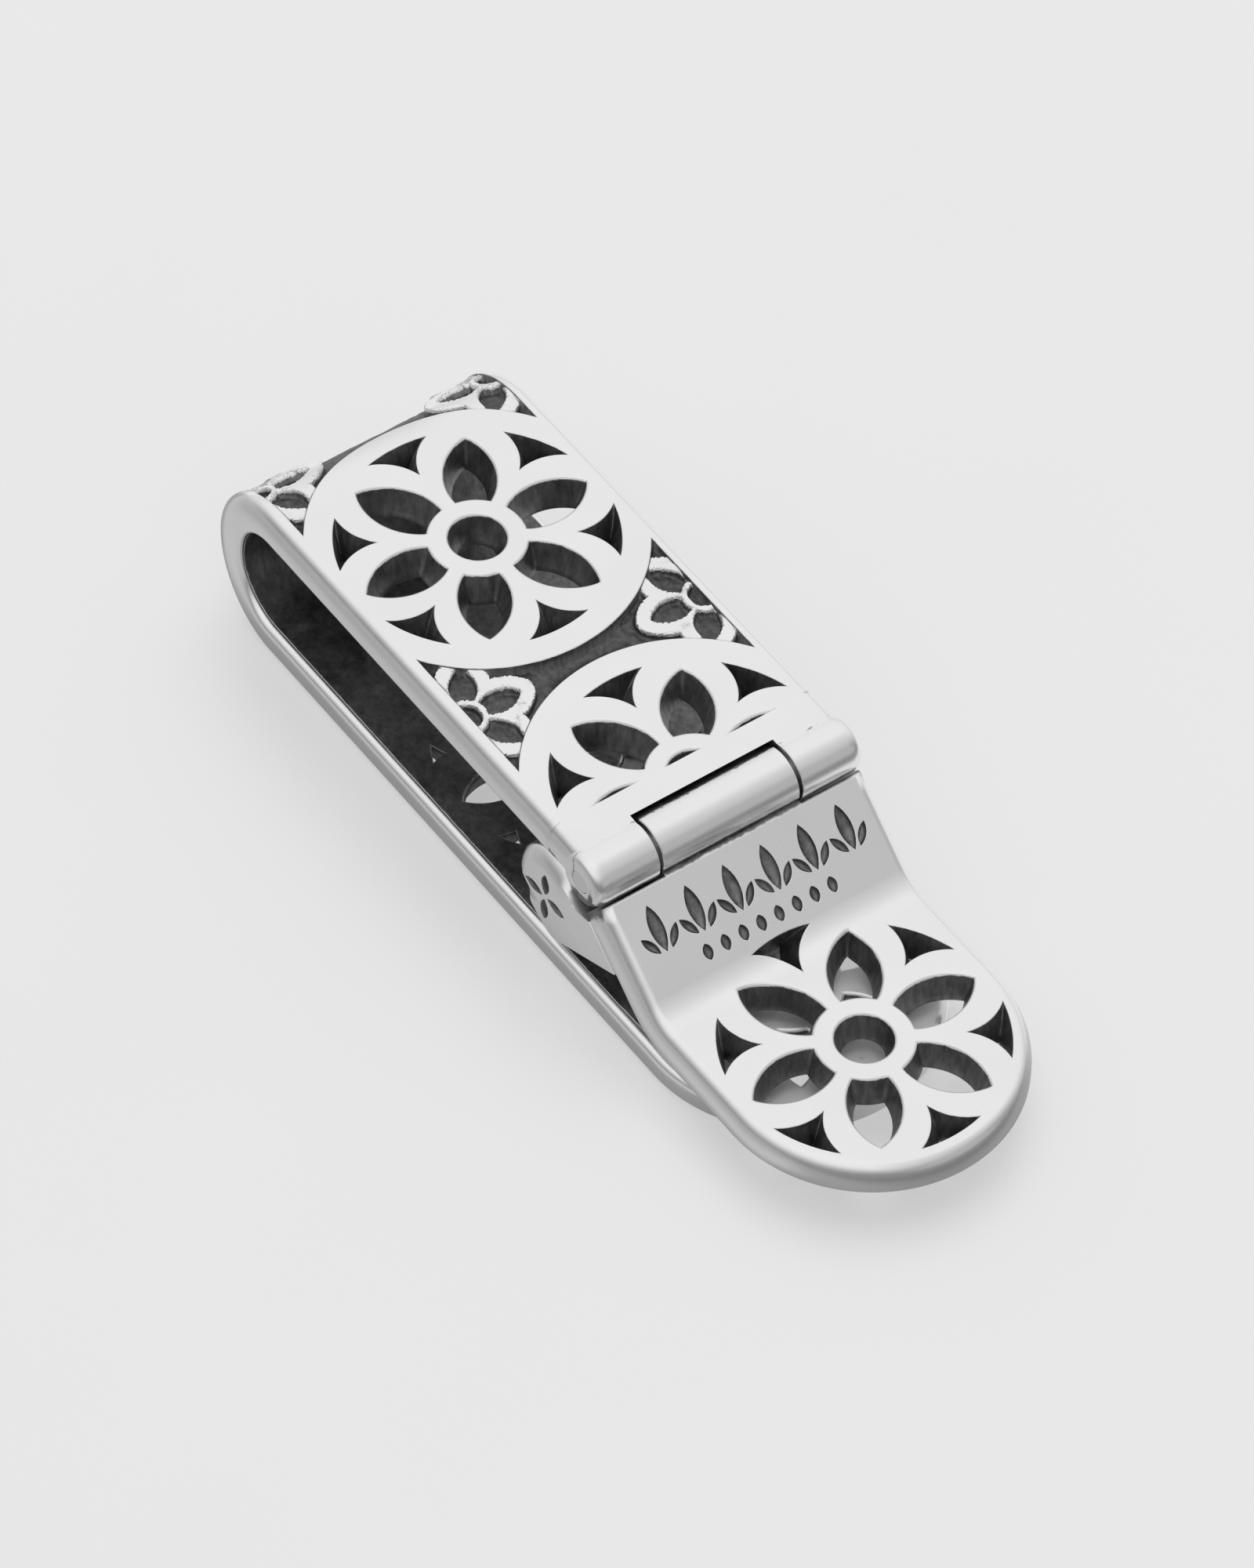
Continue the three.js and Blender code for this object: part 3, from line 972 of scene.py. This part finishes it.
def make_lever_knuckle():
    """The centre knuckle, and the web that joins it to the slope."""
    inner = knuckle_split - running_gap
    steps = 46
    start, stop = math.radians(-95), math.radians(-371)
    turns = [start + (stop - start) * i / steps for i in range(steps + 1)]

    def section(y, drop):
        radius = knuckle_radius - drop
        barrel = [(hinge_x + radius * math.cos(t), hinge_z + radius * math.sin(t)) for t in turns]
        web = [
            on_slope(-0.26, 0.2 + drop),
            on_slope(-0.1, 0.06 + drop),
            on_slope(0.14, 0.0),
            on_slope(0.6, 0.02),
            on_slope(0.9, 1.95),
        ]
        darks = [smoothstep((-362 - math.degrees(t)) / 10) for t in turns]
        return y, barrel + web, darks + [1.0, 0.85, 0.15, 0.0, 1.0]

    bevel = 0.06
    sections = [section(-inner, bevel), section(-inner + bevel, 0)]
    sections += [section(inner - bevel, 0), section(inner, bevel)]
    knuckle = across_object("lever_knuckle", sections)
    cut_bore(knuckle)
    shade(knuckle)
    knuckle.data.materials.append(hinge_silver)
    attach(knuckle, "lever_arm")


def cam_outline(inset_at):
    """The cam's section in XZ. Each turn reaches the round nose, or a side of the neck where
    that lies farther out, and stays within the cam's reach of the hinge."""
    depth = lever_thickness + 0.05
    neck = [
        (cam_x + 1.2, cam_z + 1.4),
        on_slope(0.6, depth),
        on_slope(4.1, depth),
        (cam_x + 1.6, cam_z - cam_radius * 0.88),
    ]
    corner_turns = [math.atan2(z - cam_z, x - cam_x) for x, z in neck]
    turns = sorted([i * TAU / tip_steps - math.pi for i in range(tip_steps)] + corner_turns)
    points = []
    for turn in turns:
        run, rise = math.cos(turn), math.sin(turn)
        reach = cam_radius
        for (x0, z0), (x1, z1) in zip(neck, neck[1:] + neck[:1]):
            cross = run * (z1 - z0) - rise * (x1 - x0)
            if abs(cross) < 1e-9:
                continue
            along = ((x0 - cam_x) * (z1 - z0) - (z0 - cam_z) * (x1 - x0)) / cross
            share = ((x0 - cam_x) * rise - (z0 - cam_z) * run) / cross
            if -1e-6 <= share <= 1 + 1e-6 and along > reach:
                reach = along
        ahead = run * (cam_x - hinge_x) + rise * (cam_z - hinge_z)
        apart = (cam_x - hinge_x) ** 2 + (cam_z - hinge_z) ** 2
        reach = min(reach, -ahead + math.sqrt(ahead**2 - apart + cam_reach**2))
        reach -= inset_at(turn)
        points.append((cam_x + reach * run, cam_z + reach * rise))
    return points


def end_chamfer(turn):
    """The chamfer of the cam's ends: wide on the nose's upper side, narrow elsewhere."""
    degrees = math.degrees(turn) % 360
    upper_nose = smoothstep((degrees - 45) / 25) * smoothstep((235 - degrees) / 30)
    return cam_chamfer + (nose_chamfer - cam_chamfer) * upper_nose


def make_cam():
    # Down the rounded chamfer: the share of it that is cut, and the distance in from the end.
    levels = ((1.0, 0.0), (0.85, 0.05), (0.35, 0.32), (0.08, 0.6), (0.0, 0.72))
    sections = []
    for share, inward in levels:
        points = cam_outline(lambda turn: share * end_chamfer(turn))
        sections.append((-half_width + inward, points, plain(points)))
    sections += [(-y, points, darks) for y, points, darks in reversed(sections)]
    mark_x, mark_z = cam_x - 0.1, cam_z - 0.15
    mark_offset = 1.1
    mark_depth = 0.28
    pockets = []
    for i in range(4):
        turn = i * math.pi / 2
        x, z = mark_x + mark_offset * math.cos(turn), mark_z + mark_offset * math.sin(turn)
        pockets.append((leaf_mark(length=0.92, half=0.42, s=x, y=z, turn=turn), mark_depth))
    cam = shade(across_object("cam_bar_body", sections, pockets), degrees=40)
    cam.data.materials.append(cam_silver)
    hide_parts("cam_bar")
    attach(cam, "lever_arm")


# ------------------------------------------------------------ materials


class Nodes:
    """Shorthand for building a node tree."""

    def __init__(self, tree):
        self.tree = tree

    def put(self, node, key, value):
        """Links a socket to an input, or sets the input to a plain value."""
        if isinstance(value, bpy.types.NodeSocket):
            self.tree.links.new(value, node.inputs[key])
        else:
            node.inputs[key].default_value = value

    def add(self, kind, values=None, **settings):
        node = self.tree.nodes.new(kind)
        for key, value in settings.items():
            setattr(node, key, value)
        for key, value in (values or {}).items():
            self.put(node, key, value)
        return node

    def math(self, operation, a, b=0.0):
        return self.add("ShaderNodeMath", {0: a, 1: b}, operation=operation).outputs[0]

    def noise(self, place, scale, detail=4.0, rough=0.6):
        values = {"Vector": place, "Scale": scale, "Detail": detail, "Roughness": rough}
        return self.add("ShaderNodeTexNoise", values).outputs["Fac"]

    def span(self, value, from_low, from_high, to_low, to_high):
        node = self.add("ShaderNodeMapRange", {
            "Value": value, "From Min": from_low, "From Max": from_high,
            "To Min": to_low, "To Max": to_high,
        })
        return node.outputs["Result"]

    def blend(self, share, a, b):
        return self.add("ShaderNodeMix", {0: share, 6: a, 7: b}, data_type="RGBA").outputs[2]

    def grey(self, value):
        return self.add("ShaderNodeCombineColor", {0: value, 1: value, 2: value}).outputs[0]

    def along(self, vector, direction):
        """How far a vector points along a direction."""
        values = {0: vector, 1: direction}
        return self.add("ShaderNodeVectorMath", values, operation="DOT_PRODUCT").outputs["Value"]


def new_material(name):
    material = bpy.data.materials.new(name)
    material.use_nodes = True
    return material, Nodes(material.node_tree), material.node_tree.nodes["Principled BSDF"]


def silver_material(name, polish, shade_of=0.93, scratch=1.0, satin=0.0, pits=0.0, seam_x=0.0):
    """Silver that is polished where a surface is plain and oxidised where it is dark, which on the strap's
    inner face is also painted shade.
    Where there is a seam, in mm along X, broken hairlines follow it."""
    material, nodes, shader = new_material(name)
    place = nodes.add("ShaderNodeTexCoord").outputs["Object"]
    dark = nodes.add("ShaderNodeAttribute", attribute_name="dark").outputs["Fac"]

    breakup = nodes.noise(place, 1400, 3.0, 0.7)
    ragged = nodes.math("ADD", dark, nodes.span(breakup, 0.3, 0.7, -0.18, 0.18))
    oxide = nodes.span(ragged, 0.4, 0.7, 0.0, 1.0)
    if seam_x:
        along_x = nodes.add("ShaderNodeSeparateXYZ", {0: place}).outputs[0]
        wander = 0.16 * MM
        wobble = nodes.span(nodes.noise(place, 500, 3.0), 0.3, 0.7, -wander, wander)
        from_seam = nodes.math("SUBTRACT", along_x, seam_x * MM)
        off = nodes.math("ABSOLUTE", nodes.math("ADD", from_seam, wobble))
        hairline = nodes.span(off, 0.02 * MM, 0.07 * MM, 1.0, 0.0)
        broken = nodes.span(nodes.noise(place, 620, 4.0, 0.7), 0.5, 0.58, 0.0, 0.8)
        oxide = nodes.math("MAXIMUM", oxide, nodes.math("MULTIPLY", hairline, broken))

    # Oxide: blotched, streaked by upright tool marks, and darkest deep in the grounds and, as painted shade,
    # on the strap's inner face.
    blotches = nodes.noise(place, 420, 5.0, 0.65)
    upright = nodes.add("ShaderNodeMapping", {"Vector": place, "Scale": (2600.0, 2600.0, 260.0)})
    tool_marks = nodes.noise(upright.outputs[0], 1.0, 3.0, 0.6)
    oxide_shade = nodes.span(blotches, 0.3, 0.75, 0.17, 0.3)
    for factor in (
        nodes.span(tool_marks, 0.3, 0.7, 0.7, 1.35),
        nodes.span(dark, 1.0, 1.0 + deep_dark, 1.0, 0.55),
    ):
        oxide_shade = nodes.math("MULTIPLY", oxide_shade, factor)
    haze = nodes.noise(place, 160, 3.0, 0.5)
    silver_shade = nodes.span(haze, 0.3, 0.7, shade_of - 0.02, shade_of + 0.01)
    colour = nodes.blend(oxide, nodes.grey(silver_shade), nodes.grey(oxide_shade))
    nodes.put(shader, "Base Color", colour)
    nodes.put(shader, "Metallic", 1.0)

    # Roughness: wiped and finely scratched where bare, and duller on oxide.
    drawn = nodes.add("ShaderNodeMapping", {"Vector": place, "Scale": (90.0, 2600.0, 900.0)})
    lines = nodes.noise(drawn.outputs[0], 1.0, 4.0, 0.7)
    wipe = nodes.noise(place, 900, 5.0, 0.6)
    plain_rough = nodes.math("ADD", nodes.span(wipe, 0.3, 0.7, polish, polish + 0.07),
                             nodes.span(lines, 0.55, 0.75, 0.0, 0.05 * scratch))
    plain_rough = nodes.math("ADD", plain_rough, nodes.span(dark, 0.05, 0.25, 0.0, 0.28))
    dark_rough = nodes.span(blotches, 0.3, 0.7, 0.38, 0.6)
    rough = nodes.math("ADD", plain_rough, nodes.math(
        "MULTIPLY", oxide, nodes.math("SUBTRACT", dark_rough, plain_rough)))
    nodes.put(shader, "Roughness", rough)

    # Relief: scratches and grain, worked oxide and, in a casting, pits.
    grain = nodes.noise(place, 3800, 4.0, 0.7)
    worked = nodes.noise(place, 1500, 5.0, 0.75)
    height = nodes.math("ADD", nodes.math("MULTIPLY", lines, 0.02 * scratch),
                        nodes.math("MULTIPLY", grain, 0.03 + satin))
    worked = nodes.math("ADD", worked, tool_marks)
    rough_height = nodes.math("MULTIPLY", worked, nodes.math("MULTIPLY", oxide, 0.9))
    height = nodes.math("ADD", height, rough_height)
    if pits:
        cells = nodes.add("ShaderNodeTexVoronoi", {"Vector": place, "Scale": 1300.0})
        where = nodes.span(nodes.math("ADD", dark, nodes.noise(place, 260, 2.0)), 0.62, 0.8, 0, 1)
        pit = nodes.span(cells.outputs["Distance"], 0.05, 0.2, 1.0, 0.0)
        height = nodes.math("SUBTRACT", height, nodes.math(
            "MULTIPLY", nodes.math("MULTIPLY", pit, where), pits))
    relief = {"Height": height, "Strength": 0.6, "Distance": 0.05 * MM}
    nodes.put(shader, "Normal", nodes.add("ShaderNodeBump", relief).outputs[0])
    return material


floor_albedo = 0.29
floor_glow = 0.465

# How much of the floor's brightness its reflections lose, a painted shade: from one place
# to another, in metres, the loss at the first and the loss at the second.
beside_outer = (-0.024, -0.012, 0.55, 0.3)
beside_inner = (-0.012, -0.0106, 0.3, 0.6)
below_tab = (0.032, 0.038, 0.6, 0.8)


def floor_material():
    """A light table: pale and lit from below, with painted shade that only its reflections
    show, along the clip's near side and under its tab."""
    material, nodes, shader = new_material("pale_floor")
    place = nodes.add("ShaderNodeTexCoord").outputs["Object"]
    mottle = nodes.span(nodes.noise(place, 30, 2.0), 0.3, 0.7, 0.995, 1.005)
    mirrored = nodes.add("ShaderNodeLightPath").outputs["Is Glossy Ray"]
    x, y, _ = nodes.add("ShaderNodeSeparateXYZ", {0: place}).outputs
    beside = nodes.math("MAXIMUM", nodes.span(y, *beside_outer), nodes.span(y, *beside_inner))
    near_side = nodes.math("MULTIPLY", beside, nodes.span(y, -0.004, 0.006, 1.0, 0.0))
    tab_end = nodes.span(x, 0.02, 0.03, 0.0, 1.0)
    under_tab = nodes.math("MULTIPLY", nodes.span(x, *below_tab), tab_end)
    # Painted shade: glossy rays see the floor darker beside the clip and under its tab.
    reflected_shade = nodes.math("MULTIPLY", mirrored, nodes.math("MAXIMUM", near_side, under_tab))
    shade_of = nodes.math("MULTIPLY", mottle, nodes.math("SUBTRACT", 1.0, reflected_shade))
    for key, value in (
        ("Base Color", nodes.grey(nodes.math("MULTIPLY", shade_of, floor_albedo))),
        ("Emission Color", WHITE),
        ("Emission Strength", nodes.math("MULTIPLY", shade_of, floor_glow)),
        ("Roughness", 0.35),
        ("Specular IOR Level", 0.35),
    ):
        nodes.put(shader, key, value)
    return material


# ------------------------------------------------------------ stage, light and camera


def make_floor():
    mesh = bpy.data.meshes.new("floor")
    wide = 3.0
    low = -0.02 * MM
    corners = [(-wide, -wide, low), (wide, -wide, low), (wide, wide, low), (-wide, wide, low)]
    mesh.from_pydata(corners, [], [(0, 1, 2, 3)])
    floor = linked("floor", mesh)
    mesh.materials.append(floor_material())


def make_light():
    """A soft dome, and a wide lamp overhead that lights the floor without showing in the
    silver. The dome is grey low down and bright at the rear. It dims where the slope mirrors
    it, and has a low light ahead of the tab."""
    world = bpy.data.worlds.new("studio")
    bpy.context.scene.world = world
    world.use_nodes = True
    nodes = Nodes(world.node_tree)
    direction = nodes.add("ShaderNodeTexCoord").outputs["Generated"]
    height = nodes.add("ShaderNodeSeparateXYZ", {0: direction}).outputs[2]
    behind = nodes.span(nodes.along(direction, (-0.8, 0.6, 0.0)), 0.0, 0.75, 0.0, 1.0)
    ramp = nodes.add("ShaderNodeValToRGB", {"Fac": height})
    stops = ramp.color_ramp.elements
    for share in (0.17, 0.39, 0.6, 0.74):
        stops.new(share)
    for stop, level in zip(stops, (0.2, 0.32, 0.52, 0.78, 0.86, 0.9)):
        stop.color = (level, level, level, 1.0)
    rear = nodes.grey(nodes.span(height, -0.1, 0.5, 0.62, 0.86))
    dome = nodes.blend(behind, ramp.outputs[0], rear)
    off_slope = nodes.along(direction, (0.67, 0.40, 0.62))
    dome = nodes.math("MULTIPLY", dome, nodes.span(off_slope, 0.72, 0.97, 1.0, 0.72))
    ahead = nodes.span(nodes.along(direction, (0.92, 0.39, 0.0)), 0.7, 0.92, 0.0, 0.46)
    background = world.node_tree.nodes["Background"]
    nodes.put(background, "Color", WHITE)
    nodes.put(background, "Strength", nodes.math("MAXIMUM", dome, ahead))
    lamp = bpy.data.lights.new("overhead", "AREA")
    lamp.shape = "DISK"
    lamp.size = 0.9
    lamp.energy = 4.2
    overhead = bpy.data.objects.new("overhead", lamp)
    overhead.location = (-0.25, 0.2, 0.9)
    overhead.rotation_euler = (-overhead.location).to_track_quat("-Z", "Y").to_euler()
    overhead.visible_glossy = False
    bpy.context.scene.collection.objects.link(overhead)


def make_camera():
    azimuth = math.radians(51.94)
    elevation = math.radians(49.85)
    roll = math.radians(2.94)
    distance = 0.5450
    target = Vector((-0.00092, -0.00084, 0.006))
    back = Vector((
        math.sin(azimuth) * math.cos(elevation),
        -math.cos(azimuth) * math.cos(elevation),
        math.sin(elevation),
    ))
    level = Vector((math.cos(azimuth), math.sin(azimuth), 0))
    upright = back.cross(level)
    right = math.cos(roll) * level + math.sin(roll) * upright
    up = back.cross(right)
    lens = bpy.data.cameras.new("camera")
    lens.lens = 210.0
    lens.sensor_width = 36.0
    lens.clip_start = 0.01
    camera = bpy.data.objects.new("camera", lens)
    bpy.context.scene.collection.objects.link(camera)
    turn = Matrix((right, up, back)).transposed().to_4x4()
    camera.matrix_world = Matrix.Translation(target + back * distance) @ turn
    bpy.context.scene.camera = camera


# ------------------------------------------------------------ the scene

make_camera()
make_floor()
make_light()
strap_silver = silver_material("strap_polish", polish=0.2)
hinge_silver = silver_material("hinge_polish", polish=0.2, scratch=0.8, satin=0.02, pits=1.2,
                               seam_x=solder_seam_x)
pin_steel = silver_material("pin_finish", polish=0.2, shade_of=0.8)
lever_silver = silver_material("lever_polish", polish=0.22)
cam_silver = silver_material("cam_satin", polish=0.26, shade_of=0.9, satin=0.05)
make_strap()
make_hinge_plate()
make_pin()
make_lever()
make_lever_knuckle()
make_cam()
scene = bpy.context.scene
scene.view_settings.view_transform = "Standard"
